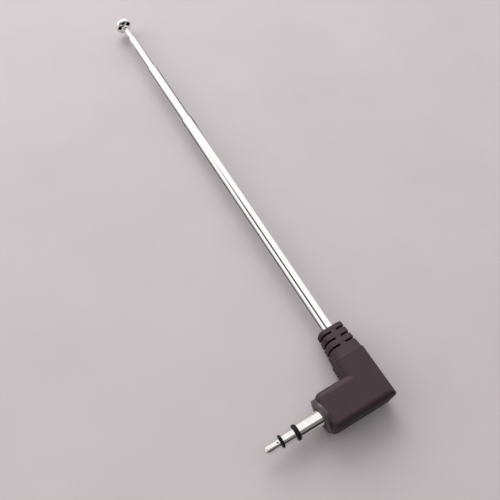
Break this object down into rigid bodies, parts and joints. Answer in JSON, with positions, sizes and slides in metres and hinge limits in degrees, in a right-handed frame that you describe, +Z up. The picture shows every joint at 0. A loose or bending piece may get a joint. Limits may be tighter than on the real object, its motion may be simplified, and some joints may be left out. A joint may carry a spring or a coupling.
{
  "type": "telescopic antenna",
  "caption": "Telescopic whip antenna in bright chromed sections with a button knob, on a right-angle moulded elbow with a slotted strain relief and a stereo jack plug.",
  "frame": {"origin": "on the flat underside of the elbow, straight below the point where the whip's axis and the plug's axis cross", "axes": "+Y along the whip towards the knob, -X along the plug towards its nose, +Z up from the flat side it lies on"},
  "size_m": [0.0304, 0.1306, 0.0084],
  "materials": {
    "moulded_pvc": "fine matt moulded texture",
    "moulded_abs": "satin moulded",
    "polyethylene": "waxy moulded",
    "nickel_plate": "bright nickel plate",
    "bright_chrome": "bright chrome plate on drawn brass",
    "brass": "turned and stamped",
    "phosphor_bronze": "rolled strip",
    "black_acetal": "smooth moulded",
    "tinned_copper": "tinned wire",
    "silicone": "soft wire covering",
    "solder": "frozen solder bead"
  },
  "bodies": {
    "root": {"elbow_housing": "moulded_pvc", "plug_collar": "moulded_abs", "plug_sleeve": "nickel_plate", "ring_insulator": "black_acetal", "plug_ring": "nickel_plate", "tip_insulator": "black_acetal", "plug_tip": "nickel_plate", "ground_lug": "brass", "ring_lug": "brass", "tip_lug": "brass", "inner_core": "polyethylene", "base_stud": "brass", "link_wire": "tinned_copper", "wire_coat": "silicone", "stud_solder": "solder", "lug_solder": "solder", "base_tube": "bright_chrome"},
    "lower_slider": {"lower_spring": "phosphor_bronze"},
    "lower_section": {"lower_tube": "bright_chrome"},
    "middle_slider": {"middle_spring": "phosphor_bronze"},
    "middle_section": {"middle_tube": "bright_chrome"},
    "tip_slider": {"upper_spring": "phosphor_bronze"},
    "tip_section": {"tip_rod": "bright_chrome", "knob_ferrule": "bright_chrome", "knob": "bright_chrome"}
  },
  "joints": [
    {"name": "lower_slide", "type": "slide", "parent": "root", "child": "lower_slider", "axis": [0, 1, 0], "range_m": [-0.0198, 0.0445]},
    {"name": "lower_spin", "type": "hinge", "parent": "lower_slider", "child": "lower_section", "pos_m": [0, 0.0585, 0.0042], "axis": [0, 1, 0], "continuous": true},
    {"name": "middle_slide", "type": "slide", "parent": "lower_section", "child": "middle_slider", "axis": [0, 1, 0], "range_m": [-0.0119, 0.0535]},
    {"name": "middle_spin", "type": "hinge", "parent": "middle_slider", "child": "middle_section", "pos_m": [0, 0.0705, 0.0042], "axis": [0, 1, 0], "continuous": true},
    {"name": "tip_slide", "type": "slide", "parent": "middle_section", "child": "tip_slider", "axis": [0, 1, 0], "range_m": [-0.0031, 0.0635]},
    {"name": "tip_spin", "type": "hinge", "parent": "tip_slider", "child": "tip_section", "pos_m": [0, 0.0735, 0.0042], "axis": [0, 1, 0], "continuous": true}
  ]
}
